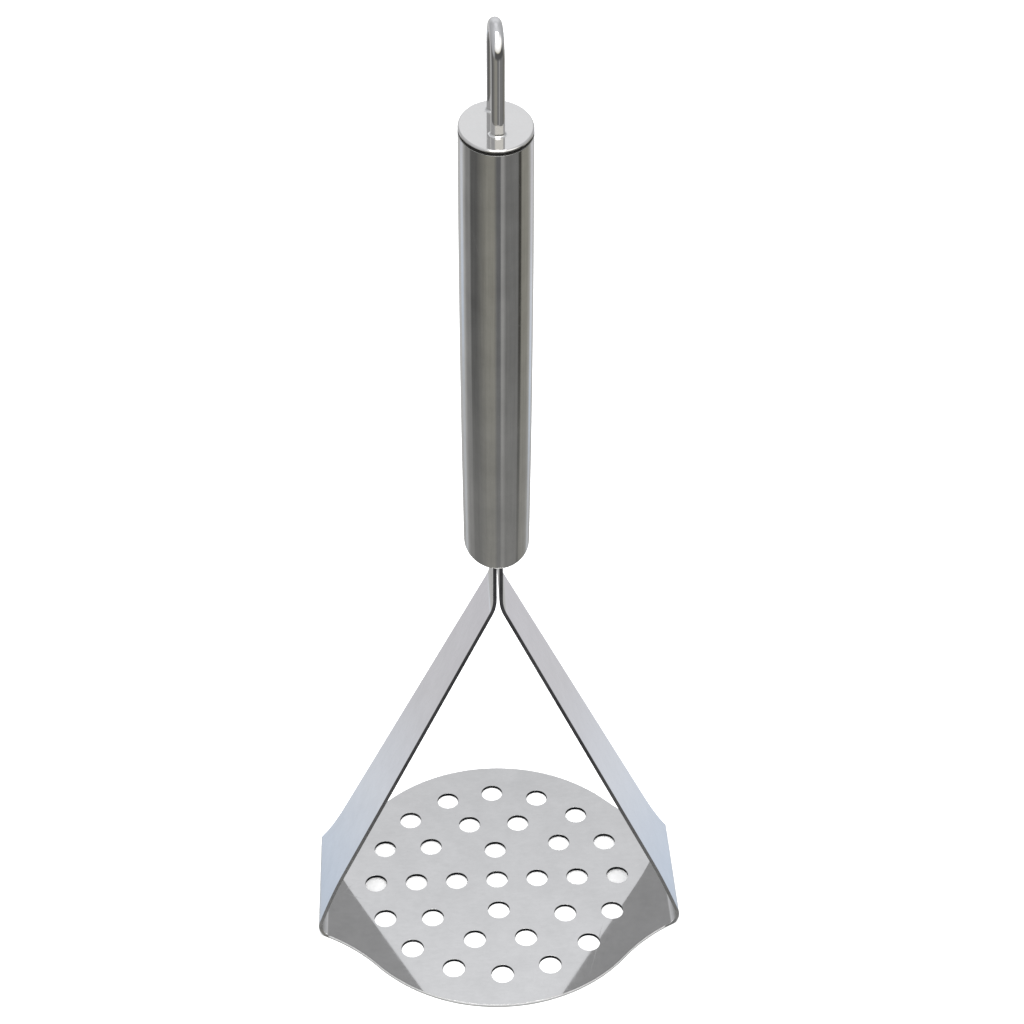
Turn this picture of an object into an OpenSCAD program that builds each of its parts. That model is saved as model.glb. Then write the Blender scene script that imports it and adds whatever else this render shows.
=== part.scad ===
// Potato masher in stainless steel: a perforated round plate whose two arms
// fold up, meet at a neck and run into a hollow oval handle with a hanging loop.
// +Z is up the handle, X runs from arm to arm, and Y is the handle's deep side.
// The origin is the centre of the plate's underside.

/* [Plate] */
// Diameter of the round mashing plate
plate_d = 94.2; // [90:0.2:98]
// Thickness of the sheet that the plate and both arms are cut from
sheet_t = 1; // [0.8:0.1:1.2]
// Diameter of each perforation
hole_d = 6.5; // [5:0.1:7]
// Distance from one ring of perforations to the next
ring_step = 12; // [11:0.5:12.5]
// Radius of the hollow curve from the plate's rim into each arm
shoulder_r = 52; // [40:1:56]

/* [Arms] */
// Distance from the middle of the plate to each fold line
fold_x = 53.3; // [52:0.1:56]
// Inside radius of the fold between plate and arm
fold_r = 1.8; // [1:0.1:2]
// Width of an arm just above its shoulder
arm_w = 27.4; // [25:0.2:29]
// Height above the plate at which that width is reached
arm_w_z = 10; // [8:1:14]
// Width of the arm at the neck, and of its upright tang
tang_w = 17; // [14:0.2:19]
// Height of the neck, where the arms turn upright
neck_z = 113.4; // [105:0.2:120]
// Inside radius of the bend at the neck
neck_r = 12; // [5:1:14]
// Gap between the two upright tangs
tang_gap = 0.6; // [0.4:0.1:1.2]
// Length of each tang inside the handle
tang_in = 24; // [14:1:40]

/* [Handle] */
// Height of the handle's foot above the plate's underside
grip_z = 129.6; // [126:0.2:140]
// Length of the handle tube
grip_l = 117.5; // [100:0.2:130]
// Width of the handle from side to side at its widest
grip_w = 17.8; // [17.2:0.2:20]
// Depth of the handle from front to back at its widest
grip_d = 26.2; // [25:0.2:30]
// Width of the handle at its foot
grip_foot_w = 17; // [16:0.2:17]
// Height of the widest place above the foot
grip_swell = 70; // [55:1:80]
// Wall thickness of the handle tube
grip_wall = 0.8; // [0.6:0.1:1]

/* [Handle ends] */
// Thickness of the end cap that closes the top of the handle
cap_t = 0.9; // [0.8:0.1:1.2]
// Depth of the skirt that locates each closing piece in the tube
skirt_l = 5; // [3:0.5:8]
// Depth of the seam groove between the cap and the tube
seam = 0.25; // [0.15:0.05:0.3]

/* [Hanging loop] */
// Diameter of the loop's round wire
wire_d = 3.2; // [2.5:0.1:3.5]
// Distance between the centres of the loop's two legs
loop_w = 12.5; // [11:0.5:14]
// Height of the loop above the end cap
loop_h = 24.5; // [18:0.1:30]
// Distance of the loop behind the handle's centre
loop_y = 1.4; // [0:0.2:2.6]
// Angle in degrees that the loop is turned from the handle's front-to-back line
loop_turn = 2; // [-5:0.5:5]

/* [Hidden] */
$fn = 96;

STEEL = "#c3c5c8";
BRUSHED = "#8f8e8a";
POLISHED = "#dadbdc";
WELD = "#77777c";

RINGS = 3;          // rings of perforations round the middle one
FOLD_STEPS = 12;    // flat strips that make up each fold
ARM_STEPS = 8;      // strips that follow the shoulder curve up the arm
NECK_STEPS = 6;     // flat strips that make up the bend at the neck
SWELL_STEPS = 8;    // short tapers that make up the handle's swell
ROUND_STEPS = 4;    // flats that make up a rounded edge
OVAL_SIDES = 64;    // sides of the handle's oval
CLEARANCE = 0.05;   // gap round a piece that is pushed into another
WELD_LEG = 1.4;     // size of the fillet weld along each tang
BEAD_R = 0.7;       // radius of the round bead at the foot of each loop leg
LEG_DEPTH = 4;      // how far the loop's legs reach below the cap
EDGE_R = 0.5;       // rounding of the tube's lower edge
PLUG_T = 1.2;       // thickness of the plug at the handle's foot

// The sheet's middle line in the X-Z plane: level plate, fold, leaning arm, neck, upright tang
mid_z = sheet_t / 2;
tang_x = (tang_gap + sheet_t) / 2;
arm_rise = neck_z - mid_z;
arm_run = fold_x - tang_x;
lean = atan2(arm_run, arm_rise);
fold_turn = 90 + lean;
fold_mid_r = fold_r + mid_z;
fold_tangent = fold_mid_r * tan(fold_turn / 2);
neck_mid_r = neck_r + mid_z;
neck_tangent = neck_mid_r * tan(lean / 2);

// Distances along the flat blank, from the middle of the plate to where each stretch starts
fold_s = fold_x - fold_tangent;
arm_s = fold_s + fold_mid_r * fold_turn * PI / 180;
neck_s = arm_s + norm([arm_rise, arm_run]) - fold_tangent - neck_tangent;
tang_s = neck_s + neck_mid_r * lean * PI / 180;
end_s = tang_s + grip_z + tang_in - neck_z - neck_tangent;

// Half width of the blank: a shoulder arc that touches the plate's rim and the arm's tapering edge
plate_r = plate_d / 2;
arm_w_s = arm_s + arm_w_z / cos(lean) - fold_tangent;
taper = (arm_w - tang_w) / 2 / (neck_s - arm_w_s);
stretch = norm([1, taper]);
reach = plate_r + shoulder_r;
lift = arm_w / 2 + taper * arm_w_s + shoulder_r * stretch;
shoulder_s = (lift * taper + sqrt(pow(reach * stretch, 2) - lift * lift)) / pow(stretch, 2);
shoulder_y = lift - taper * shoulder_s;
shoulder_end_s = shoulder_s - shoulder_r * taper / stretch;
rim_touch = plate_r / reach * [shoulder_s, shoulder_y];
function half_width(s) =
    s < shoulder_end_s ? shoulder_y - sqrt(pow(shoulder_r, 2) - pow(s - shoulder_s, 2))
    : s < neck_s ? arm_w / 2 - taper * (s - arm_w_s)
    : tang_w / 2;

// Which way the sheet heads at s, as an angle above level, and where its middle line is
function heading(s) =
    s < arm_s ? fold_turn * (s - fold_s) / (arm_s - fold_s)
    : s < neck_s ? fold_turn
    : s < tang_s ? fold_turn - lean * (s - neck_s) / (tang_s - neck_s)
    : 90;
function middle(s) =
    s < arm_s ? [fold_s, mid_z + fold_mid_r] + fold_mid_r * [sin(heading(s)), -cos(heading(s))]
    : s < neck_s ? [fold_x, mid_z] + (fold_tangent + s - arm_s) * [-sin(lean), cos(lean)]
    : s < tang_s ? [tang_x + neck_mid_r, neck_z + neck_tangent] + neck_mid_r * [-sin(heading(s)), cos(heading(s))]
    : [tang_x, neck_z + neck_tangent + s - tang_s];

// Handle: half width at height z; its half depth is always grip_extra more
grip_top = grip_z + grip_l;
grip_extra = (grip_d - grip_w) / 2;
tube_in = grip_foot_w / 2 - grip_wall;
function grip_half(z) = (grip_w - (grip_w - grip_foot_w) * pow((z - grip_z) / grip_swell - 1, 2)) / 2;

// Loop
loop_r = loop_w / 2;
loop_centre_z = grip_top + cap_t + loop_h - wire_d / 2 - loop_r;
leg_foot_z = grip_top - LEG_DEPTH;

module both_sides() {
    children();
    mirror([1, 0, 0]) children();
}

// A solid swept through closed outlines that all have the same number of points
// and run clockwise, looking back from the last outline towards the first
module loft(outlines) {
    n = len(outlines[0]);
    last = n * (len(outlines) - 1);
    sides = [for (a = [0 : n : last - n], k = [0 : n - 1]) let (i = a + k, j = a + (k + 1) % n)
        for (t = [[i, j, j + n], [i, j + n, i + n]]) t];
    bottom = [for (k = [n - 1 : -1 : 0]) k];
    top = [for (k = [0 : n - 1]) last + k];
    polyhedron([for (outline = outlines) each outline], concat(sides, [bottom, top]), convexity = 6);
}

// The handle's oval, as a level outline: w is half its width
function oval(w, z) = [for (i = [1 : OVAL_SIDES]) let (a = -360 * i / OVAL_SIDES)
    [w * cos(a), (w + grip_extra) * sin(a), z]];

// A solid oval stack through [half width, height] pairs, lowest first
module oval_stack(profile) loft([for (p = profile) oval(p[0], p[1])]);

// The cross-section of the sheet at distance s along the blank
function sheet_section(s) =
    let (p = middle(s), out = mid_z * [sin(heading(s)), -cos(heading(s))], w = half_width(s))
    [for (c = [[-1, -1], [-1, 1], [1, 1], [1, -1]]) [p[0] + c[0] * out[0], c[1] * w, p[1] + c[0] * out[1]]];

module plate_outline() {
    circle(plate_r, $fn = 180);
    difference() {
        polygon([for (c = [[1, 1], [1, -1], [-1, -1], [-1, 1]]) [c[0] * fold_s, c[1] * rim_touch[1]]]);
        for (x = [-1, 1], y = [-1, 1]) translate([x * shoulder_s, y * shoulder_y]) circle(shoulder_r, $fn = 240);
    }
}

module perforation() cylinder(d = hole_d, h = 4 * sheet_t, center = true, $fn = 48);

// One sheet: the perforated plate, and on each side a fold, an arm, a neck and a tang
module masher_head() {
    folded = concat(
        [for (i = [0 : FOLD_STEPS]) fold_s + (arm_s - fold_s) * i / FOLD_STEPS],
        [for (i = [1 : ARM_STEPS]) arm_s + (shoulder_end_s - arm_s) * i / ARM_STEPS],
        [for (i = [0 : NECK_STEPS]) neck_s + (tang_s - neck_s) * i / NECK_STEPS],
        [end_s]
    );
    color(STEEL) union() {
        difference() {
            linear_extrude(sheet_t) plate_outline();
            perforation();
            for (ring = [1 : RINGS], i = [1 : 6 * ring - 2])
                rotate(360 * i / (6 * ring - 2)) translate([ring * ring_step, 0, 0]) perforation();
        }
        both_sides() loft([for (s = folded) sheet_section(s)]);
    }
}

// Open oval tube with a gentle swell; its lower edge is rounded over
module handle_tube() {
    rounded = [for (i = [0 : ROUND_STEPS - 1]) let (a = 90 * i / ROUND_STEPS)
        [grip_half(grip_z) - EDGE_R * (1 - sin(a)), grip_z + EDGE_R * (1 - cos(a))]];
    swell = [for (i = [0 : SWELL_STEPS])
        let (z = grip_z + EDGE_R + (grip_l - EDGE_R - seam) * i / SWELL_STEPS) [grip_half(z), z]];
    color(BRUSHED) difference() {
        oval_stack(concat(rounded, swell, [[grip_half(grip_top) - seam, grip_top]]));
        oval_stack([[tube_in, grip_z - 1], [tube_in, grip_top + 1]]);
    }
}

// A level oval disc with a skirt under it
module cup(disc_t) {
    w = tube_in - CLEARANCE;
    difference() {
        oval_stack([[w, -skirt_l], [w, disc_t]]);
        oval_stack([[w - grip_wall, -skirt_l - 1], [w - grip_wall, 0]]);
    }
}

// Closes the foot of the handle, with a slot for each tang
module foot_plug() {
    color(POLISHED) difference() {
        translate([0, 0, grip_z + CLEARANCE + PLUG_T]) mirror([0, 0, 1]) cup(PLUG_T);
        both_sides() translate([tang_gap / 2 - CLEARANCE, -tang_w / 2 - CLEARANCE, grip_z - 1])
            cube([sheet_t + 2 * CLEARANCE, tang_w + 2 * CLEARANCE, skirt_l]);
    }
}

// Closes the top of the handle, with a rounded rim and two holes for the loop
module end_cap() {
    rim = grip_half(grip_top);
    round_r = (cap_t - seam) * 0.8;
    rounded = [for (i = [0 : ROUND_STEPS]) let (a = 90 * i / ROUND_STEPS)
        [rim - round_r * (1 - cos(a)), cap_t - round_r * (1 - sin(a))]];
    color(POLISHED) translate([0, 0, grip_top]) difference() {
        union() {
            oval_stack(concat([[rim - seam, 0], [rim, seam]], rounded));
            cup(cap_t / 2);
        }
        at_legs() cylinder(d = wire_d + 2 * CLEARANCE, h = 4 * cap_t, center = true, $fn = 48);
    }
}

// Puts its children at each leg of the loop
module at_legs() {
    translate([0, loop_y, 0]) rotate(loop_turn)
        for (side = [-1, 1]) translate([0, side * loop_r, 0]) children();
}

module hanging_loop() {
    color(POLISHED) translate([0, loop_y, 0]) rotate(loop_turn) {
        translate([0, 0, loop_centre_z]) rotate([90, 0, 90])
            rotate_extrude(angle = 180) translate([loop_r, 0]) circle(d = wire_d, $fn = 48);
        for (side = [-1, 1]) translate([0, side * loop_r, leg_foot_z])
            cylinder(d = wire_d, h = loop_centre_z - leg_foot_z, $fn = 48);
    }
}

// Fillet welds inside the handle, one along the outer face of each tang
module tang_weld() {
    color(WELD) both_sides() translate([tang_x + mid_z, 0, grip_z + CLEARANCE + PLUG_T]) rotate([90, 0, 0])
        linear_extrude(tang_w - 4, center = true) polygon([[0, 0], [WELD_LEG, 0], [0, WELD_LEG]]);
}

// Polished weld beads on the end cap, one round the foot of each leg
module loop_weld() {
    color(POLISHED) at_legs() translate([0, 0, grip_top + cap_t]) rotate_extrude() intersection() {
        translate([wire_d / 2, 0]) circle(BEAD_R, $fn = 48);
        translate([wire_d / 2, 0]) square(2 * BEAD_R);
    }
}

masher_head();
handle_tube();
foot_plug();
end_cap();
hanging_loop();
tang_weld();
loop_weld();
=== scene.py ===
"""Looks for a stainless steel potato masher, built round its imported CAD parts.

A perforated plate and its two arms are one folded sheet. The arms meet at a neck
and run into a hollow oval handle, closed by a cap with a wire hanging loop.
Shapes are worked out in millimetres and become metres when a mesh is made.
"""

import math

import bmesh
import bpy
from mathutils import Matrix, Vector
from mathutils.geometry import delaunay_2d_cdt


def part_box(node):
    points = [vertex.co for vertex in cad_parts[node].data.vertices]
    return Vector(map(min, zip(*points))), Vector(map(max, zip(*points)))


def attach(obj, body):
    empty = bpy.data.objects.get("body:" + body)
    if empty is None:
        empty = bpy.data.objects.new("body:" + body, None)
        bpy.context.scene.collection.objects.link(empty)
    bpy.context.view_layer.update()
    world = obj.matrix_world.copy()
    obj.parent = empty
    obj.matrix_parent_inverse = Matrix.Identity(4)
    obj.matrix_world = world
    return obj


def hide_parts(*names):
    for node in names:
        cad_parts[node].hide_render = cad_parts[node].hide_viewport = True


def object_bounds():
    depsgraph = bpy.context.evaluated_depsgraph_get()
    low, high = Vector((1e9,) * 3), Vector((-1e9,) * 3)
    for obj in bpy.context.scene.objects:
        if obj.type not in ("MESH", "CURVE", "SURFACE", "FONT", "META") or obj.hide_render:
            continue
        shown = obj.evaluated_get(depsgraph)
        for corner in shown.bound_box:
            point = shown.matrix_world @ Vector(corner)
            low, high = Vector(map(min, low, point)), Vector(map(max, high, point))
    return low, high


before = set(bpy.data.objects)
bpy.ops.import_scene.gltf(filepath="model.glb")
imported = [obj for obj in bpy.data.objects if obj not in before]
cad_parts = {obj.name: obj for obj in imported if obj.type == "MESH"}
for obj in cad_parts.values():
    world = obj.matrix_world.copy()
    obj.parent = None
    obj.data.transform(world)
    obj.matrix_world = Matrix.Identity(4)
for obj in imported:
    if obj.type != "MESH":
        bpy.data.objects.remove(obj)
cad_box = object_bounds()

MM = 0.001


def box_mm(node):
    """A CAD node's lowest and highest corners in millimetres."""
    low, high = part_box(node)
    return low / MM, high / MM


# ---- Sizes that the frame gives, in millimetres ----
HEAD_LOW, HEAD_HIGH = box_mm("masher_head")
TUBE_LOW, TUBE_HIGH = box_mm("handle_tube")
CAP_LOW, CAP_HIGH = box_mm("end_cap")
LOOP_LOW, LOOP_HIGH = box_mm("hanging_loop")

PLATE_R = (HEAD_HIGH.y - HEAD_LOW.y) / 2
TANG_END_Z = HEAD_HIGH.z
GRIP_Z = TUBE_LOW.z
GRIP_TOP = TUBE_HIGH.z
GRIP_W = TUBE_HIGH.x - TUBE_LOW.x
GRIP_EXTRA = (TUBE_HIGH.y - TUBE_LOW.y - GRIP_W) / 2
CAP_TOP = CAP_HIGH.z
CAP_FOOT = CAP_LOW.z
LOOP_Y = (LOOP_HIGH.y + LOOP_LOW.y) / 2

# ---- Driving sizes of the part, in millimetres ----
SHEET_T = 1.0
HOLE_R = 3.25
RING_STEP = 12.0
RINGS = 3
SHOULDER_R = 52.0
FOLD_X = 53.29          # the part's is 53.3: the smooth fold has to stay inside its flat strips
FOLD_R = 1.8
ARM_W = 27.4
ARM_W_Z = 10.0
TANG_W = 17.0
NECK_Z = 113.4
NECK_R = 12.0
TANG_GAP = 0.6
GRIP_FOOT_W = 17.0
GRIP_SWELL = 70.0
GRIP_WALL = 0.8
WIRE_R = 1.6
LOOP_R = 6.25
LOOP_TURN = math.radians(2)
BEAD_R = 0.7
LOOP_CENTRE_Z = LOOP_HIGH.z - WIRE_R - LOOP_R

# ---- Fine edges that only the looks have, in millimetres ----
CUT_R = 0.04            # rounding of the sheet's cut edge
PUNCH_R = 0.04          # rounding where a perforation breaks the surface
TUBE_FOOT_R = 0.7       # rounding of the tube's lower edge
TUBE_TOP_R = 0.1        # rounding of the tube's upper edge
TUBE_INNER_R = 0.08     # rounding of the tube's inside edges
CAP_ROUND_R = 0.6       # rounding of the cap's rim
CAP_UNDER_R = 0.08      # rounding of the cap's lower edge
SEAM_ABOVE = 0.28       # how far the cap's rim stays above the seam's middle
SEAM_BELOW = 0.42       # how far the tube's edge stays below it
BORE_GAP = 0.05         # gap round each loop leg where it enters the cap
BORE_R = 0.1            # rounding of that bore's edge
SKIRT_GAP = 0.05        # gap between the cap's skirt and the tube's wall
SKIRT_BEVEL = 0.05      # corner between the skirt and the underside of the rim
BEAD_CLEAR = 0.02       # how far the beads stay off the wire and the cap
BEAD_UNDER = -0.04      # underside of a bead, as a share of its size
FLOOR_DROP = 0.02       # how far the floor lies below the object

# ---- How finely the meshes are cut ----
EDGE_STEPS = 3
PLATE_STEPS = 9
FOLD_STEPS = 18
SHOULDER_STEPS = 10
ARM_STEPS = 10
NECK_STEPS = 12
TANG_STEPS = 4
GRIP_STEPS = 44
GRIP_FOOT_STEPS = 6
CAP_RIM_STEPS = 10
BORE_STEPS = 3
LEG_STEPS = 6
LOOP_STEPS = 48
HOLE_SIDES = 56
OVAL_SIDES = 144
WIRE_SIDES = 40
BEAD_STEPS = 8
DISC_STEP = math.radians(3)

# ---- The head's finishes, as the order of its materials: the cut edge and hole wall are painted shade ----
SHEET, CUT_EDGE_SHADE, HOLE_WALL_SHADE, DRESSED_FOOT_SHADE = range(4)
# the handle's and cap's second material: painted shade for the seam between them
SEAM_SHADE = 1


# ---------------------------------------------------------------- mesh tools

class Shell:
    """Points with their own normals, and the faces between them."""

    def __init__(self):
        self.points = []
        self.normals = []
        self.faces = []
        self.finish = []

    def ring(self, rows):
        """Adds (point, normal) pairs and returns their numbers."""
        first = len(self.points)
        for point, normal in rows:
            self.points.append(Vector(point))
            self.normals.append(Vector(normal).normalized())
        return list(range(first, len(self.points)))

    def face(self, corners, finish=0):
        self.faces.append(tuple(corners))
        self.finish.append(finish)

    def bridge(self, lower, upper, finishes=None):
        """Quads between two closed rings with the same number of points."""
        count = len(lower)
        for k in range(count):
            after = (k + 1) % count
            finish = finishes[k] if finishes else 0
            self.face((lower[k], lower[after], upper[after], upper[k]), finish)

    def fill(self, outline, holes, finish=0):
        """Flat triangles inside an outline and outside the holes in it."""
        rings = [outline] + holes
        order = [i for ring in rings for i in ring]
        owner = [n for n, ring in enumerate(rings) for _ in ring]
        edges = []
        first = 0
        for ring in rings:
            count = len(ring)
            edges += [(first + k, first + (k + 1) % count) for k in range(count)]
            first += count
        flat = [self.points[i].xy for i in order]
        area = [list(range(len(outline)))]
        found = delaunay_2d_cdt(flat, edges, area, 1, 1e-7)
        for triangle in found[2]:
            owners = {owner[k] for k in triangle}
            if len(owners) == 1 and owners != {0}:
                continue
            self.face([order[k] for k in triangle], finish)

    def piece(self, name, materials):
        """The shell as a closed mesh object in metres, with its own normals."""
        mesh = bpy.data.meshes.new(name)
        mesh.from_pydata([p * MM for p in self.points], [], self.faces)
        for material in materials:
            mesh.materials.append(material)
        mesh.polygons.foreach_set("material_index", self.finish)
        mesh.polygons.foreach_set("use_smooth", [True] * len(self.faces))
        shape = bmesh.new()
        shape.from_mesh(mesh)
        bmesh.ops.recalc_face_normals(shape, faces=shape.faces)
        shape.to_mesh(mesh)
        shape.free()
        mesh.normals_split_custom_set_from_vertices(self.normals)
        made = bpy.data.objects.new(name, mesh)
        bpy.context.scene.collection.objects.link(made)
        return made


def edge_profile(radius, thickness):
    """(inset, height, tilt) down a sheet's rounded edge, from its top face to its underside."""
    rows = []
    for k in range(EDGE_STEPS + 1):
        tilt = math.pi / 2 * k / EDGE_STEPS
        height = thickness - radius * (1 - math.cos(tilt))
        rows.append((radius * (1 - math.sin(tilt)), height, tilt))
    mirrored = [(inset, thickness - height, math.pi - tilt) for inset, height, tilt in rows]
    return rows + mirrored[::-1]


def oval_row(half, z, tilt):
    """The handle's oval at a height: (point, normal) pairs whose normals tilt up by tilt."""
    rows = []
    for k in range(OVAL_SIDES):
        turn = 2 * math.pi * k / OVAL_SIDES
        c, s = math.cos(turn), math.sin(turn)
        out = Vector((c / half, s / (half + GRIP_EXTRA), 0)).normalized() * math.cos(tilt)
        rows.append(((half * c, (half + GRIP_EXTRA) * s, z), out + Vector((0, 0, math.sin(tilt)))))
    return rows


def oval_arc(half, z, radius, start, end, steps=4):
    """(half width, height, tilt) rows round an edge centred at (half, z), tilts in degrees."""
    rows = []
    for k in range(steps + 1):
        tilt = math.radians(start + (end - start) * k / steps)
        rows.append((half + radius * math.cos(tilt), z + radius * math.sin(tilt), tilt))
    return rows


def circle_row(centre, radius, z, tilt, sides):
    """A round row of (point, normal) pairs about a centre; its normals point inwards."""
    rows = []
    for k in range(sides):
        turn = 2 * math.pi * k / sides
        out = Vector((math.cos(turn), math.sin(turn), 0))
        point = Vector((centre[0], centre[1], z)) + out * radius
        rows.append((point, -out * math.cos(tilt) + Vector((0, 0, math.sin(tilt)))))
    return rows


def place(piece, node):
    """The piece joins the root body and stands for a CAD node, which is hidden."""
    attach(piece, "root")
    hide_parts(node)


# ---------------------------------------------------------------- the folded head

class Blank:
    """The head's flat pattern, and how it folds: distances s run from the middle of the plate."""

    def __init__(self):
        self.mid = SHEET_T / 2
        self.tang_x = (TANG_GAP + SHEET_T) / 2
        rise = NECK_Z - self.mid
        run = FOLD_X - self.tang_x
        self.lean = math.atan2(run, rise)
        self.turn = math.pi / 2 + self.lean
        self.fold_mid_r = FOLD_R + self.mid
        self.fold_tangent = self.fold_mid_r * math.tan(self.turn / 2)
        self.neck_mid_r = NECK_R + self.mid
        self.neck_tangent = self.neck_mid_r * math.tan(self.lean / 2)
        self.fold_s = FOLD_X - self.fold_tangent
        self.arm_s = self.fold_s + self.fold_mid_r * self.turn
        self.neck_s = self.arm_s + math.hypot(rise, run) - self.fold_tangent - self.neck_tangent
        self.tang_s = self.neck_s + self.neck_mid_r * self.lean
        self.end_s = self.tang_s + TANG_END_Z - NECK_Z - self.neck_tangent
        self.shape_shoulder()

    def shape_shoulder(self):
        """The shoulder arc touches both the plate's rim and the arm's tapering edge."""
        arm_w_s = self.arm_s + ARM_W_Z / math.cos(self.lean) - self.fold_tangent
        self.taper = (ARM_W - TANG_W) / 2 / (self.neck_s - arm_w_s)
        self.stretch = math.hypot(1, self.taper)
        self.edge_lift = ARM_W / 2 + self.taper * arm_w_s
        lift = self.edge_lift + SHOULDER_R * self.stretch
        reach = PLATE_R + SHOULDER_R
        root = math.sqrt((reach * self.stretch) ** 2 - lift * lift)
        self.shoulder_s = (lift * self.taper + root) / self.stretch**2
        self.shoulder_y = lift - self.taper * self.shoulder_s
        self.shoulder_end_s = self.shoulder_s - SHOULDER_R * self.taper / self.stretch
        self.touch_turn = math.atan2(self.shoulder_s, self.shoulder_y)
        self.touch_s = PLATE_R * math.sin(self.touch_turn)

    def edge(self, s):
        """Half width at s, and the edge's outward direction there."""
        if s < self.shoulder_end_s:
            y = self.shoulder_y - math.sqrt(SHOULDER_R**2 - (s - self.shoulder_s) ** 2)
            return y, Vector((self.shoulder_s - s, self.shoulder_y - y)) / SHOULDER_R
        if s < self.neck_s:
            return self.edge_lift - self.taper * s, Vector((self.taper, 1)) / self.stretch
        return TANG_W / 2, Vector((0, 1))

    def quarter(self):
        """(s, y, outward direction) along a quarter of the outline, from rim to tang end."""
        rows = []
        steps = max(1, round(self.touch_turn / DISC_STEP))
        for k in range(steps + 1):
            turn = self.touch_turn * k / steps
            out = Vector((math.sin(turn), math.cos(turn)))
            rows.append((PLATE_R * out.x, PLATE_R * out.y, out))
        stops = spread(self.touch_s, self.fold_s, PLATE_STEPS)[1:]
        self.fold_row = len(rows) + len(stops) - 1
        stops += spread(self.fold_s, self.arm_s, FOLD_STEPS)[1:]
        stops += spread(self.arm_s, self.shoulder_end_s, SHOULDER_STEPS)[1:]
        stops += spread(self.shoulder_end_s, self.neck_s, ARM_STEPS)[1:]
        stops += spread(self.neck_s, self.tang_s, NECK_STEPS)[1:]
        stops += spread(self.tang_s, self.end_s, TANG_STEPS)[1:-1]
        for s in stops:
            y, out = self.edge(s)
            rows.append((s, y, out))
        rows.append((self.end_s, TANG_W / 2, Vector((1, 1))))
        return rows

    def heading(self, s):
        if s < self.fold_s:
            return 0.0
        if s < self.arm_s:
            return self.turn * (s - self.fold_s) / (self.arm_s - self.fold_s)
        if s < self.neck_s:
            return self.turn
        if s < self.tang_s:
            return self.turn - self.lean * (s - self.neck_s) / (self.tang_s - self.neck_s)
        return math.pi / 2

    def middle(self, s):
        """Where the sheet's middle line is at s, as (x, z)."""
        way = self.heading(s)
        if s < self.fold_s:
            return s, self.mid
        if s < self.arm_s:
            x = self.fold_s + self.fold_mid_r * math.sin(way)
            return x, self.mid + self.fold_mid_r * (1 - math.cos(way))
        if s < self.neck_s:
            along = self.fold_tangent + s - self.arm_s
            return FOLD_X - along * math.sin(self.lean), self.mid + along * math.cos(self.lean)
        if s < self.tang_s:
            x = self.tang_x + self.neck_mid_r * (1 - math.sin(way))
            return x, NECK_Z + self.neck_tangent + self.neck_mid_r * math.cos(way)
        return self.tang_x, NECK_Z + self.neck_tangent + s - self.tang_s

    def fold(self, point, normal):
        """Moves a point of the flat blank, and its normal, to where folding takes it."""
        side = 1 if point.x >= 0 else -1
        s = abs(point.x)
        way = self.heading(s)
        c, w = math.cos(way), math.sin(way)
        x, z = self.middle(s)
        up = point.z - self.mid
        folded = Vector((side * (x - up * w), point.y, z + up * c))
        level = normal.x * side
        turned = Vector((side * (level * c - normal.z * w), normal.y, level * w + normal.z * c))
        return folded, turned


def spread(start, end, steps):
    """Evenly spaced values from start to end, both included."""
    return [start + (end - start) * k / steps for k in range(steps + 1)]


def hole_centres():
    """The middle perforation, then rings of 6n - 2 more."""
    centres = [(0.0, 0.0)]
    for ring in range(1, RINGS + 1):
        count = 6 * ring - 2
        for k in range(count):
            turn = 2 * math.pi * k / count
            centres.append((ring * RING_STEP * math.cos(turn), ring * RING_STEP * math.sin(turn)))
    return centres


def build_head(materials):
    """Plate, folds, arms, neck and tangs as one folded sheet with rounded cut edges."""
    blank = Blank()
    quarter = blank.quarter()
    shell = Shell()
    outline = quarter + [(s, -y, Vector((o.x, -o.y))) for s, y, o in reversed(quarter)]
    outline = outline[:-1]
    outline += [(-s, -y, -o) for s, y, o in quarter]
    outline += [(-s, y, Vector((-o.x, o.y))) for s, y, o in reversed(quarter)][:-1]

    rings = []
    for inset, height, tilt in edge_profile(CUT_R, SHEET_T):
        rows = []
        for s, y, out in outline:
            point = (s - out.x * inset, y - out.y * inset, height)
            normal = Vector((out.x, out.y, 0)).normalized() * math.sin(tilt)
            rows.append((point, normal + Vector((0, 0, math.cos(tilt)))))
        rings.append(shell.ring(rows))
    # the plate's rim takes the dressed finish; the arms' and tangs' cut edges take the dark grey of
    # painted shade
    on_plate_rim = [abs(outline[k][0]) < blank.fold_s for k in range(len(outline))]
    join_edge(shell, rings, [DRESSED_FOOT_SHADE if flag else CUT_EDGE_SHADE for flag in on_plate_rim])

    hole_tops = []
    hole_feet = []
    for centre in hole_centres():
        hole = []
        for inset, height, tilt in edge_profile(PUNCH_R, SHEET_T):
            row = circle_row(centre, HOLE_R + inset, height, math.pi / 2 - tilt, HOLE_SIDES)
            hole.append(shell.ring(row))
        # each hole's wall takes the near-black painted shade
        join_edge(shell, hole, [HOLE_WALL_SHADE] * HOLE_SIDES)
        hole_tops.append(hole[0])
        hole_feet.append(hole[-1])

    cover_blank(shell, rings[0], hole_tops, len(quarter), blank.fold_row)
    cover_blank(shell, rings[-1], hole_feet, len(quarter), blank.fold_row)
    for k, point in enumerate(shell.points):
        shell.points[k], shell.normals[k] = blank.fold(point, shell.normals[k])
    head = shell.piece("head_sheet", materials)
    place(head, "masher_head")
    return head


def join_edge(shell, rings, finishes):
    """Bridges the rings of an edge; the straight part in the middle takes the given finishes."""
    for k in range(len(rings) - 1):
        plain = [SHEET] * len(finishes)
        shell.bridge(rings[k], rings[k + 1], finishes if k == EDGE_STEPS else plain)


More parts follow.
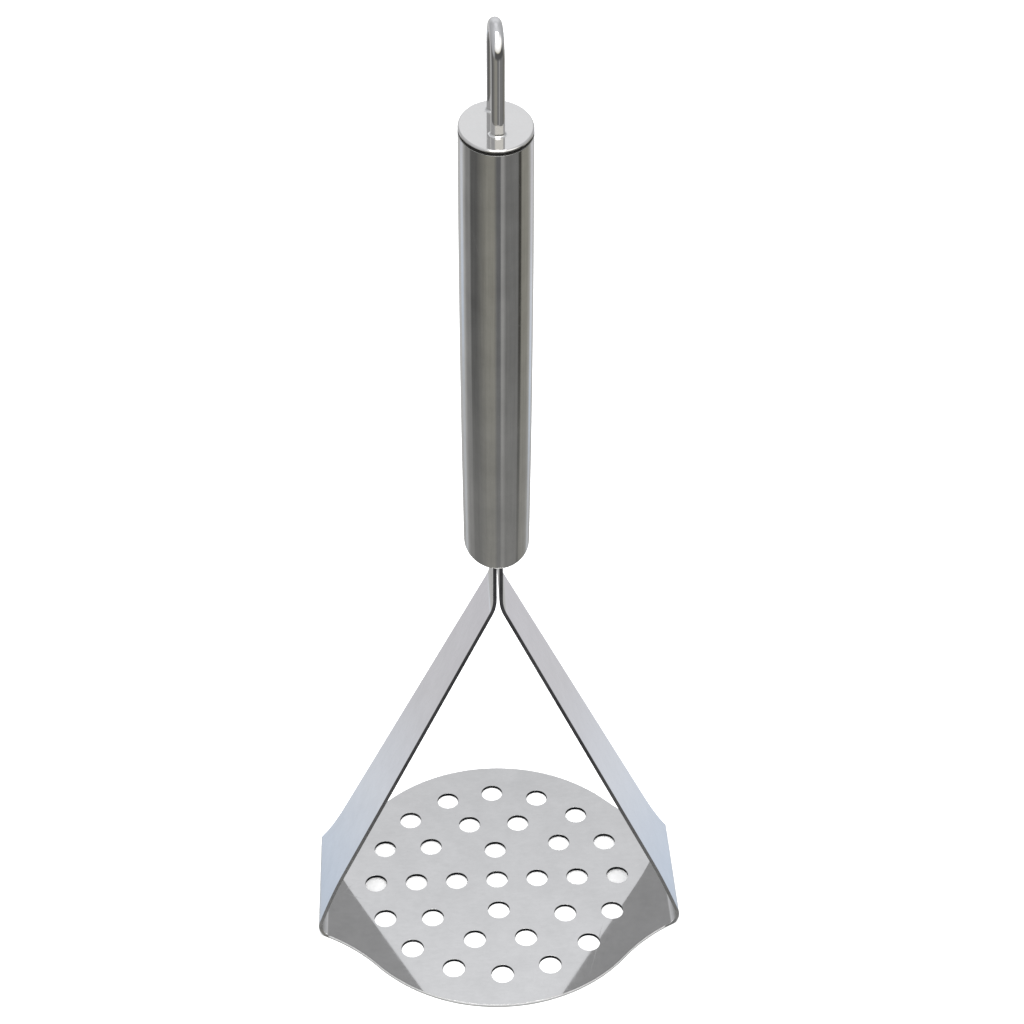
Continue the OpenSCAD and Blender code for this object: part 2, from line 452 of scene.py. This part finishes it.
def cover_blank(shell, ring, holes, quarter, fold_row):
    """Covers one face of the blank: triangles on the plate, and cross strips along each arm."""
    right_back = ring[:quarter]
    right_front = list(reversed(ring[quarter:2 * quarter - 1]))
    right_front = [ring[2 * quarter - 1]] + right_front
    left_front = ring[2 * quarter - 1:3 * quarter - 1]
    left_back = [ring[0]] + list(reversed(ring[3 * quarter - 1:]))
    plate = right_back[:fold_row + 1] + list(reversed(right_front[:fold_row + 1]))
    plate += left_front[1:fold_row + 1] + list(reversed(left_back[1:fold_row + 1]))
    shell.fill(plate, holes)
    for back, front in ((right_back, right_front), (left_back, left_front)):
        for k in range(fold_row, quarter - 1):
            shell.face((back[k], back[k + 1], front[k + 1], front[k]))


# ---------------------------------------------------------------- handle, cap and loop

def grip_half(z):
    """Half the handle's width at a height."""
    way = (z - GRIP_Z) / GRIP_SWELL - 1
    return (GRIP_W - (GRIP_W - GRIP_FOOT_W) * way * way) / 2


def grip_tilt(z):
    """How far the handle's wall faces upwards there, because of its swell."""
    step = 0.1
    return math.atan2(grip_half(z - step) - grip_half(z + step), 2 * step)


def build_handle(materials):
    """The oval tube, with its wall, rounded foot and rounded top edge."""
    inner = GRIP_FOOT_W / 2 - GRIP_WALL
    top = GRIP_TOP - SEAM_BELOW
    foot_z = GRIP_Z + TUBE_FOOT_R
    rim_z = top - TUBE_TOP_R
    rows = oval_arc(grip_half(GRIP_Z) - TUBE_FOOT_R, foot_z, TUBE_FOOT_R, -90, 0, GRIP_FOOT_STEPS)
    rows += [(grip_half(z), z, grip_tilt(z)) for z in spread(foot_z, rim_z, GRIP_STEPS)[1:-1]]
    rows += oval_arc(grip_half(rim_z) - TUBE_TOP_R, rim_z, TUBE_TOP_R, 0, 90)
    outer = len(rows) - 1
    rows += oval_arc(inner + TUBE_INNER_R, top - TUBE_INNER_R, TUBE_INNER_R, 90, 180)
    rows += oval_arc(inner + TUBE_INNER_R, GRIP_Z + TUBE_INNER_R, TUBE_INNER_R, 180, 270)
    shell = Shell()
    rings = [shell.ring(oval_row(*row)) for row in rows]
    for k, ring in enumerate(rings):
        # painted shade: the tube's top edge and inside top take the dark seam material
        shade = SEAM_SHADE if outer - 4 <= k < outer + 5 else SHEET
        shell.bridge(ring, rings[(k + 1) % len(rings)], [shade] * OVAL_SIDES)
    tube = shell.piece("handle_shell", materials)
    place(tube, "handle_tube")
    return tube


def build_cap(materials):
    """The disc that closes the handle, with its skirt and the two bores for the loop."""
    skirt = GRIP_FOOT_W / 2 - GRIP_WALL - SKIRT_GAP
    under = GRIP_TOP + SEAM_ABOVE
    rim = grip_half(GRIP_TOP)
    rows = [(skirt, CAP_FOOT, 0.0), (skirt, under - SKIRT_BEVEL, 0.0)]
    rows += [(skirt + SKIRT_BEVEL, under, -math.pi / 2)]
    rows += oval_arc(rim - CAP_UNDER_R, under + CAP_UNDER_R, CAP_UNDER_R, -90, 0)
    rows += oval_arc(rim - CAP_ROUND_R, CAP_TOP - CAP_ROUND_R, CAP_ROUND_R, 0, 90, CAP_RIM_STEPS)
    shell = Shell()
    rings = [shell.ring(oval_row(*row)) for row in rows]
    for k in range(len(rings) - 1):
        # painted shade: the cap's skirt and underside take the dark seam material
        shade = SEAM_SHADE if k < 3 else SHEET
        shell.bridge(rings[k], rings[k + 1], [shade] * OVAL_SIDES)
    bore = WIRE_R + BORE_GAP
    bore_tops = []
    bore_feet = []
    for centre in leg_centres():
        hole = []
        for k in range(BORE_STEPS + 1):
            tilt = math.pi / 2 * (1 - k / BORE_STEPS)
            radius = bore + BORE_R * (1 - math.cos(tilt))
            z = CAP_TOP - BORE_R * (1 - math.sin(tilt))
            hole.append(shell.ring(circle_row(centre, radius, z, tilt, WIRE_SIDES)))
        hole.append(shell.ring(circle_row(centre, bore, CAP_FOOT, 0.0, WIRE_SIDES)))
        for upper, lower in zip(hole, hole[1:]):
            shell.bridge(upper, lower)
        bore_tops.append(hole[0])
        bore_feet.append(hole[-1])
    shell.fill(rings[-1], bore_tops)
    shell.fill(rings[0], bore_feet)
    cap = shell.piece("cap_disc", materials)
    place(cap, "end_cap")
    return cap


def leg_centres():
    """Where the loop's two legs stand, as (x, y): the front one first."""
    reach = Vector((-math.sin(LOOP_TURN), math.cos(LOOP_TURN))) * LOOP_R
    return [tuple(Vector((0, LOOP_Y)) + side * reach) for side in (-1, 1)]


def build_beads(materials):
    """A polished fillet of weld round the foot of each leg, slightly uneven."""
    shell = Shell()
    for number, centre in enumerate(leg_centres()):
        rings = []
        for k in range(BEAD_STEPS + 1):
            tilt = math.pi / 2 * k / BEAD_STEPS
            row = bead_row(centre, 1 - math.sin(tilt), 1 - math.cos(tilt), tilt, number)
            rings.append(shell.ring(row))
        for reach in (0.0, 1.0):
            rings.append(shell.ring(bead_row(centre, reach, BEAD_UNDER, math.pi, number)))
        for k, ring in enumerate(rings):
            shell.bridge(ring, rings[(k + 1) % len(rings)])
    beads = shell.piece("loop_beads", materials)
    place(beads, "loop_weld")
    return beads


def bead_row(centre, reach, lift, tilt, number):
    """A row of a weld fillet; reach from the wire and lift off the cap are shares of its size."""
    rows = []
    for k in range(WIRE_SIDES):
        turn = 2 * math.pi * k / WIRE_SIDES
        out = Vector((math.cos(turn), math.sin(turn), 0))
        wave = 0.08 * math.sin(3 * turn + 2 * number) + 0.05 * math.sin(7 * turn + number)
        size = BEAD_R * (0.86 + wave)
        point = Vector((centre[0], centre[1], CAP_TOP + BEAD_CLEAR))
        point += out * (WIRE_R + BEAD_CLEAR + size * reach)
        point.z += size * lift
        rows.append((point, out * math.sin(tilt) + Vector((0, 0, math.cos(tilt)))))
    return rows


def build_loop(materials):
    """Round wire: one leg up, half a turn over the top, and the other leg down."""
    foot = LOOP_LOW.z
    path = [(-LOOP_R, z, 0.0) for z in spread(foot, LOOP_CENTRE_Z, LEG_STEPS)[:-1]]
    for turn in spread(math.pi, 0, LOOP_STEPS):
        z = LOOP_CENTRE_Z + LOOP_R * math.sin(turn)
        path.append((LOOP_R * math.cos(turn), z, math.pi - turn))
    path += [(LOOP_R, z, math.pi) for z in spread(LOOP_CENTRE_Z, foot, LEG_STEPS)[1:]]
    shell = Shell()
    rings = []
    swing = Matrix.Rotation(LOOP_TURN, 3, "Z")
    for y, z, turn in path:
        side = Vector((0, -math.cos(turn), math.sin(turn)))
        rows = []
        for k in range(WIRE_SIDES):
            a = 2 * math.pi * k / WIRE_SIDES
            out = swing @ (Vector((math.cos(a), 0, 0)) + side * math.sin(a))
            rows.append((Vector((0, LOOP_Y, z)) + swing @ Vector((0, y, 0)) + out * WIRE_R, out))
        rings.append(shell.ring(rows))
    for lower, upper in zip(rings, rings[1:]):
        shell.bridge(lower, upper)
    shell.face(rings[0])
    shell.face(rings[-1])
    loop = shell.piece("loop_wire", materials)
    place(loop, "hanging_loop")
    return loop


# ---------------------------------------------------------------- materials

class Nodes:
    """Short ways to add and link shader nodes."""

    def __init__(self, tree):
        self.tree = tree
        tree.nodes.clear()

    def add(self, kind, **settings):
        node = self.tree.nodes.new(kind)
        for key, value in settings.items():
            if hasattr(node, key):
                setattr(node, key, value)
            else:
                node.inputs[key.replace("_", " ")].default_value = value
        return node

    def link(self, output, socket):
        self.tree.links.new(output, socket)

    def maths(self, operation, first, second=None, clamp=False):
        node = self.add("ShaderNodeMath", operation=operation, use_clamp=clamp)
        for socket, value in zip(node.inputs, (first, second)):
            if value is None:
                continue
            if isinstance(value, (int, float)):
                socket.default_value = value
            else:
                self.link(value, socket)
        return node.outputs[0]

    def remap(self, value, low, high, new_low, new_high):
        node = self.add("ShaderNodeMapRange")
        self.link(value, node.inputs["Value"])
        for socket, number in zip(node.inputs[1:5], (low, high, new_low, new_high)):
            socket.default_value = number
        return node.outputs[0]

    def ramp(self, value, stops):
        """A colour ramp through these (position, colour) stops."""
        node = self.add("ShaderNodeValToRGB")
        elements = node.color_ramp.elements
        elements.remove(elements[-1])
        for k, (position, colour) in enumerate(stops):
            element = elements[0] if k == 0 else elements.new(position)
            element.position = position
            element.color = tuple(colour) + (1.0,)
        self.link(value, node.inputs[0])
        return node.outputs[0]

    def mix(self, factor, first, second):
        """A colour between two others, each an output or three numbers."""
        node = self.add("ShaderNodeMix", data_type="RGBA")
        self.link(factor, node.inputs["Factor"])
        sockets = [s for s in node.inputs if s.type == "RGBA"]
        for socket, colour in zip(sockets, (first, second)):
            if isinstance(colour, tuple):
                socket.default_value = colour + (1.0,)
            else:
                self.link(colour, socket)
        return [s for s in node.outputs if s.type == "RGBA"][0]

    def noise(self, vector, detail, roughness):
        node = self.add("ShaderNodeTexNoise")
        node.inputs["Scale"].default_value = 1.0
        node.inputs["Detail"].default_value = detail
        node.inputs["Roughness"].default_value = roughness
        self.link(vector, node.inputs["Vector"])
        return node.outputs["Fac"]

    def stretched(self, vector, scale, rotation=(0, 0, 0), location=(0, 0, 0)):
        """Coordinates scaled so that noise in them is drawn out into grain."""
        turn = self.add("ShaderNodeMapping", vector_type="POINT")
        turn.inputs["Rotation"].default_value = rotation
        turn.inputs["Location"].default_value = location
        self.link(vector, turn.inputs["Vector"])
        sized = self.add("ShaderNodeMapping", vector_type="POINT")
        sized.inputs["Scale"].default_value = scale
        self.link(turn.outputs[0], sized.inputs["Vector"])
        return sized.outputs[0]


SCRATCHES = ((0.5, 3.1), (-0.8, 7.7), (1.9, 1.3))       # direction and place of each set
SCRATCH_GRAIN = (14, 1900, 60)                          # changes per metre: long, thin lines
SCRATCH_LIMITS = (0.72, 0.76)                           # only the noise above this is a scratch
SCRATCH_ROUGH = 0.35
PATCH_GRAIN = (110, 110, 110)
PATCH_TURN = (0.4, 0.2, 0.9)
RELIEF = 4e-6                                           # height of the grain, in metres


def scratch_marks(n, place_at):
    """Where the thin scratches are, from 0 to 1."""
    marks = []
    for angle, spot in SCRATCHES:
        drawn_out = n.stretched(place_at, SCRATCH_GRAIN, (0.3, 0.15, angle), (spot, spot, 0))
        marks.append(n.remap(n.noise(drawn_out, 1.0, 0.4), *SCRATCH_LIMITS, 0.0, 1.0))
    return n.maths("MAXIMUM", n.maths("MAXIMUM", marks[0], marks[1]), marks[2])


def steel(name, colour, roughness, grain, depth, anisotropic=0.0, patchy=0.02, scratches=0.2,
          tone=0.05, metallic=1.0, foot=None, foot_reach=60.0):
    """Stainless steel: fine grain, centimetre-wide patches of duller polish, and thin scratches.

    grain is how often the grain changes per metre along X, Y and Z, depth how strongly it shows
    in relief, and tone how much the colour varies. foot is another colour for the part near Z = 0,
    used for painted shade, and foot_reach is the height in millimetres at which it has faded out.
    """
    material = bpy.data.materials.new(name)
    material.use_nodes = True
    n = Nodes(material.node_tree)
    out = n.add("ShaderNodeOutputMaterial")
    shader = n.add("ShaderNodeBsdfPrincipled")
    n.link(shader.outputs[0], out.inputs["Surface"])
    shader.inputs["Metallic"].default_value = metallic
    place_at = n.add("ShaderNodeTexCoord").outputs["Object"]

    fine = n.noise(n.stretched(place_at, grain), 3.0, 0.6)
    patch = n.noise(n.stretched(place_at, PATCH_GRAIN, PATCH_TURN), 5.0, 0.6)
    mark = scratch_marks(n, place_at)

    fine_rough = n.remap(fine, 0.3, 0.7, -0.2 * roughness, 0.2 * roughness)
    patch_rough = n.remap(patch, 0.3, 0.7, -patchy, patchy)
    mark_rough = n.maths("MULTIPLY", mark, SCRATCH_ROUGH * scratches)
    rough = n.maths("ADD", n.maths("ADD", fine_rough, patch_rough), mark_rough)
    n.link(n.maths("ADD", rough, roughness, clamp=True), shader.inputs["Roughness"])

    shade = n.maths("ADD", n.maths("MULTIPLY", fine, 0.4), n.maths("MULTIPLY", patch, 0.6))
    shade = n.remap(shade, 0.35, 0.65, 0.0, 1.0)
    dark = tuple(c * (1 - tone) for c in colour)
    shown = n.mix(shade, dark, tuple(colour))
    if foot:
        split = n.add("ShaderNodeSeparateXYZ")
        n.link(place_at, split.inputs[0])
        shown = n.mix(n.remap(split.outputs[2], 0.0, foot_reach * MM, 1.0, 0.0), shown, foot)
    n.link(shown, shader.inputs["Base Color"])

    height = n.maths("MULTIPLY", fine, depth)
    height = n.maths("SUBTRACT", height, n.maths("MULTIPLY", mark, scratches))
    bump = n.add("ShaderNodeBump")
    bump.inputs["Strength"].default_value = 1.0
    bump.inputs["Distance"].default_value = RELIEF
    n.link(height, bump.inputs["Height"])
    n.link(bump.outputs[0], shader.inputs["Normal"])
    if anisotropic:
        shader.inputs["Anisotropic"].default_value = anisotropic
        shader.inputs["Anisotropic Rotation"].default_value = 0.25
        tangent = n.add("ShaderNodeTangent", direction_type="RADIAL", axis="Z")
        n.link(tangent.outputs[0], shader.inputs["Tangent"])
    return material


def paint_cad_node(node, material):
    """A CAD node keeps its shape and takes a finished material."""
    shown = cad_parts[node]
    shown.data.materials.clear()
    shown.data.materials.append(material)


# ---------------------------------------------------------------- studio

IN_DEGREES = 180 / math.pi
HORIZON = 0.08                      # how far from the horizon the halves blend, as a sine
PLAIN = (1.0, 1.0, 1.0)
WARM = (1.0, 0.98, 0.88)
COOL = (0.975, 0.99, 1.03)
FRONT_PANELS = (
    # azimuths from the front where a panel begins and ends in degrees, brightness, tint
    (-180, -137, 0.60, PLAIN),
    (-127, -113, 0.33, PLAIN),
    (-108, -88, 0.15, PLAIN),
    (-45, -18, 0.36, WARM),
    (-4, 10, 0.19, COOL),
    (14, 22, 0.45, PLAIN),
    (35, 85, 0.25, PLAIN),
    (90, 97, 0.07, WARM),
    (101, 125, 0.36, WARM),
    (143, 180, 0.60, PLAIN),
)
FOOT_GREY = (0.36, 0.36, 0.355)
FOOT_FROM = (0.53, 0.62)            # depth below the horizon, as its sine, where the panels fade
FOOT_SHARE = 0.6                    # how far they fade towards that grey
LOWER_BACK = (
    # depth below the horizon as its sine, colour: a pale wall that turns blue towards the ground
    (0.00, (0.50, 0.50, 0.52)),
    (0.40, (0.74, 0.73, 0.78)),
    (0.48, (0.75, 0.75, 0.79)),
    (0.52, (0.84, 0.88, 0.96)),
    (0.56, (0.70, 0.79, 0.93)),
    (0.60, (0.62, 0.64, 0.67)),
)
UPPER_BACK = (
    # height above the horizon as its sine, brightness: a pale wall with a soft darker band
    (0.00, 0.80),
    (0.50, 1.00),
    (0.60, 0.85),
    (0.70, 0.87),
    (0.78, 1.05),
    (1.00, 0.95),
)
UPPER_SIDE = (
    # the same, to either side of that: a greyer wall
    (0.00, 0.50),
    (0.70, 0.68),
    (1.00, 0.95),
)
UPPER_FRONT = (
    # the same in front of the object, as a colour: a dark room under a bright ceiling
    (0.34, (0.12, 0.12, 0.12)),
    (0.38, (0.60, 0.57, 0.46)),
    (0.43, (1.10, 1.09, 1.05)),
    (0.66, (1.70, 1.70, 1.70)),
    (0.80, (1.40, 1.40, 1.40)),
    (1.00, (0.95, 0.95, 0.95)),
)
LOWER_BACK_FROM = (138.5, 140.5)    # degrees from the front where the lower back begins
LOWER_BACK_TO = (150.5, 153.0)      # the same for where it ends
LEFT_DROP = 0.045                   # how much higher the lower back's tones lie on the left
UPPER_BACK_FROM = (148.0, 164.0)    # degrees from the front where the upper back begins
UPPER_FRONT_AIM = math.radians(22)  # azimuth of the middle of the bright upper front
UPPER_SIDE_FROM = (62.0, 84.0)      # degrees from there where the upper sides begin
FLOOR_COLOUR = (0.9, 0.9, 0.9, 1.0)
BACKGROUND = (0.93, 0.93, 0.93, 1.0)


def lower_tones(n, turn, off_front, depth):
    """What steel mirrors below the horizon: the front panels, and the wall behind."""
    around = []
    for begin, end, brightness, tint in FRONT_PANELS:
        tone = [brightness * c for c in tint]
        around += [((begin + 180) / 360, tone), ((end + 180) / 360, tone)]
    front = n.ramp(n.remap(turn, -math.pi, math.pi, 0.0, 1.0), around)
    front = n.mix(n.remap(depth, *FOOT_FROM, 0.0, FOOT_SHARE), front, FOOT_GREY)
    left = n.maths("LESS_THAN", turn, 0.0)
    lower_back = n.ramp(n.maths("ADD", depth, n.maths("MULTIPLY", left, LEFT_DROP)), LOWER_BACK)
    in_back = n.remap(off_front, *LOWER_BACK_FROM, 0.0, 1.0)
    in_back = n.maths("MULTIPLY", in_back, n.remap(off_front, *LOWER_BACK_TO, 1.0, 0.0))
    return n.mix(in_back, front, lower_back)


def upper_tones(n, turn, off_front, height):
    """What steel mirrors above the horizon: the bright front, the sides and the back."""
    upper_back = n.ramp(height, [(at, [b * c for c in COOL]) for at, b in UPPER_BACK])
    upper_side = n.ramp(height, [(at, [b * c for c in COOL]) for at, b in UPPER_SIDE])
    upper_front = n.ramp(height, UPPER_FRONT)
    off_aim = n.maths("ABSOLUTE", n.maths("SUBTRACT", turn, UPPER_FRONT_AIM))
    off_aim = n.maths("MULTIPLY", off_aim, IN_DEGREES)
    upper = n.mix(n.remap(off_aim, *UPPER_SIDE_FROM, 0.0, 1.0), upper_front, upper_side)
    return n.mix(n.remap(off_front, *UPPER_BACK_FROM, 0.0, 1.0), upper, upper_back)


def build_studio():
    """A light tent: steel mirrors a tone by direction, and the camera sees plain pale grey."""
    world = bpy.data.worlds.new("studio")
    bpy.context.scene.world = world
    world.use_nodes = True
    n = Nodes(world.node_tree)
    way = n.add("ShaderNodeTexCoord").outputs["Generated"]
    split = n.add("ShaderNodeSeparateXYZ")
    n.link(way, split.inputs[0])
    x, y, z = split.outputs
    turn = n.maths("ARCTAN2", x, n.maths("MULTIPLY", y, -1.0))
    off_front = n.maths("MULTIPLY", n.maths("ABSOLUTE", turn), IN_DEGREES)

    lower = lower_tones(n, turn, off_front, n.maths("MULTIPLY", z, -1.0))
    upper = upper_tones(n, turn, off_front, z)
    both = n.mix(n.remap(z, -HORIZON, HORIZON, 0.0, 1.0), lower, upper)
    mirrored = n.add("ShaderNodeBackground")
    n.link(both, mirrored.inputs["Color"])
    plain = n.add("ShaderNodeBackground", Color=BACKGROUND)
    seen = n.add("ShaderNodeMixShader")
    n.link(n.add("ShaderNodeLightPath").outputs["Is Camera Ray"], seen.inputs[0])
    n.link(mirrored.outputs[0], seen.inputs[1])
    n.link(plain.outputs[0], seen.inputs[2])
    out = n.add("ShaderNodeOutputWorld")
    n.link(seen.outputs[0], out.inputs["Surface"])


def softbox(name, at, size, power, mirrored):
    """A square lamp that looks at the origin; steel mirrors it only if mirrored is set."""
    lamp = bpy.data.lights.new(name, "AREA")
    lamp.shape = "SQUARE"
    lamp.size = size
    lamp.energy = power
    lit = bpy.data.objects.new(name, lamp)
    lit.location = at
    lit.rotation_euler = (-Vector(at)).to_track_quat("-Z", "Y").to_euler()
    lit.visible_glossy = mirrored
    bpy.context.scene.collection.objects.link(lit)


def build_floor():
    """A plain pale floor; steel doesn't mirror it, as the studio's lower half stands for it."""
    half_side = 6.0
    shape = bmesh.new()
    bmesh.ops.create_grid(shape, x_segments=2, y_segments=2, size=half_side)
    mesh = bpy.data.meshes.new("floor")
    shape.to_mesh(mesh)
    shape.free()
    floor = bpy.data.objects.new("floor", mesh)
    floor.location.z = cad_box[0][2] - FLOOR_DROP * MM
    material = bpy.data.materials.new("floor_paper")
    material.use_nodes = True
    shader = material.node_tree.nodes["Principled BSDF"]
    shader.inputs["Base Color"].default_value = FLOOR_COLOUR
    shader.inputs["Roughness"].default_value = 0.9
    shader.inputs["Specular IOR Level"].default_value = 0.1
    mesh.materials.append(material)
    floor.visible_glossy = False
    bpy.context.scene.collection.objects.link(floor)


def build_camera():
    """The camera looks down at the front, a little from the left."""
    azimuth = math.radians(-3.06)
    elevation = math.radians(37.16)
    roll = math.radians(0.25)
    distance = 0.5249
    aim_shift = Vector((0.0040, 0.0, 0.0021))
    lens = 71.58
    aim = (Vector(cad_box[0]) + Vector(cad_box[1])) / 2 + aim_shift
    level = math.cos(elevation)
    away = Vector((math.sin(azimuth) * level, -math.cos(azimuth) * level, math.sin(elevation)))
    camera = bpy.data.cameras.new("camera")
    camera.sensor_width = 36.0
    camera.lens = lens
    shown = bpy.data.objects.new("camera", camera)
    turned = away.to_track_quat("Z", "Y").to_matrix() @ Matrix.Rotation(roll, 3, "Z")
    shown.matrix_world = Matrix.Translation(aim + away * distance) @ turned.to_4x4()
    bpy.context.scene.collection.objects.link(shown)
    bpy.context.scene.camera = shown


# ---------------------------------------------------------------- the scene

STEEL = (0.66, 0.655, 0.645)
sheet_steel = steel("sheet_steel", STEEL, 0.05, (420, 900, 420), 0.03, patchy=0.02, tone=0.09)
# painted shade: dark grey on the arms' and tangs' cut edges, lighter grey within 60 mm of the floor
cut_edge_shade = steel("cut_edge_shade", (0.17, 0.17, 0.18), 0.42, (700, 700, 1600), 1.2, tone=0.4,
                  foot=(0.5, 0.5, 0.5))
# painted shade: near-black hole walls, for the shade inside each perforation
hole_wall_shade = steel("hole_wall_shade", (0.018, 0.02, 0.026), 0.4, (900, 900, 300), 0.6)
# the dressed plate rim is partly diffuse steel, with painted shade, near black, along its lowest
# 0.8 mm
dressed_rim_foot_shade = steel("dressed_rim_foot_shade", (0.76, 0.76, 0.76), 0.42, (700, 700, 1600), 0.8,
                      metallic=0.3, foot=(0.12, 0.12, 0.12), foot_reach=0.8)
grip_steel = steel("grip_steel", (0.62, 0.615, 0.60), 0.10, (1300, 1300, 40), 0.12,
                   anisotropic=0.8, tone=0.18)
bead_polish = steel("bead_polish", (0.72, 0.715, 0.70), 0.10, (1500, 1500, 1500), 5.0)
cap_polish = steel("cap_polish", (0.71, 0.70, 0.68), 0.07, (900, 900, 900), 0.08)
# painted shade: dark grey for the seam, on the cap's skirt and underside and on the tube's top edge
seam_shade_steel = steel("seam_shade_steel", (0.34, 0.34, 0.33), 0.5, (900, 900, 900), 0.5)
wire_polish = steel("wire_polish", (0.68, 0.675, 0.67), 0.07, (700, 700, 3000), 0.15)
plug_steel = steel("plug_steel", (0.60, 0.60, 0.60), 0.22, (900, 2600, 900), 0.3)
weld_steel = steel("weld_steel", (0.34, 0.32, 0.30), 0.5, (1500, 1500, 1500), 1.0, patchy=0.08)

build_head([sheet_steel, cut_edge_shade, hole_wall_shade, dressed_rim_foot_shade])
build_handle([grip_steel, seam_shade_steel])
build_cap([cap_polish, seam_shade_steel])
build_beads([bead_polish])
build_loop([wire_polish])
paint_cad_node("foot_plug", plug_steel)
paint_cad_node("tang_weld", weld_steel)

build_studio()
softbox("top_light", (0.0, -0.35, 1.5), 0.9, 14.0, True)
softbox("floor_light", (0.0, 0.3, 2.4), 2.4, 60.0, False)
build_floor()
build_camera()
bpy.context.scene.view_settings.view_transform = "Standard"
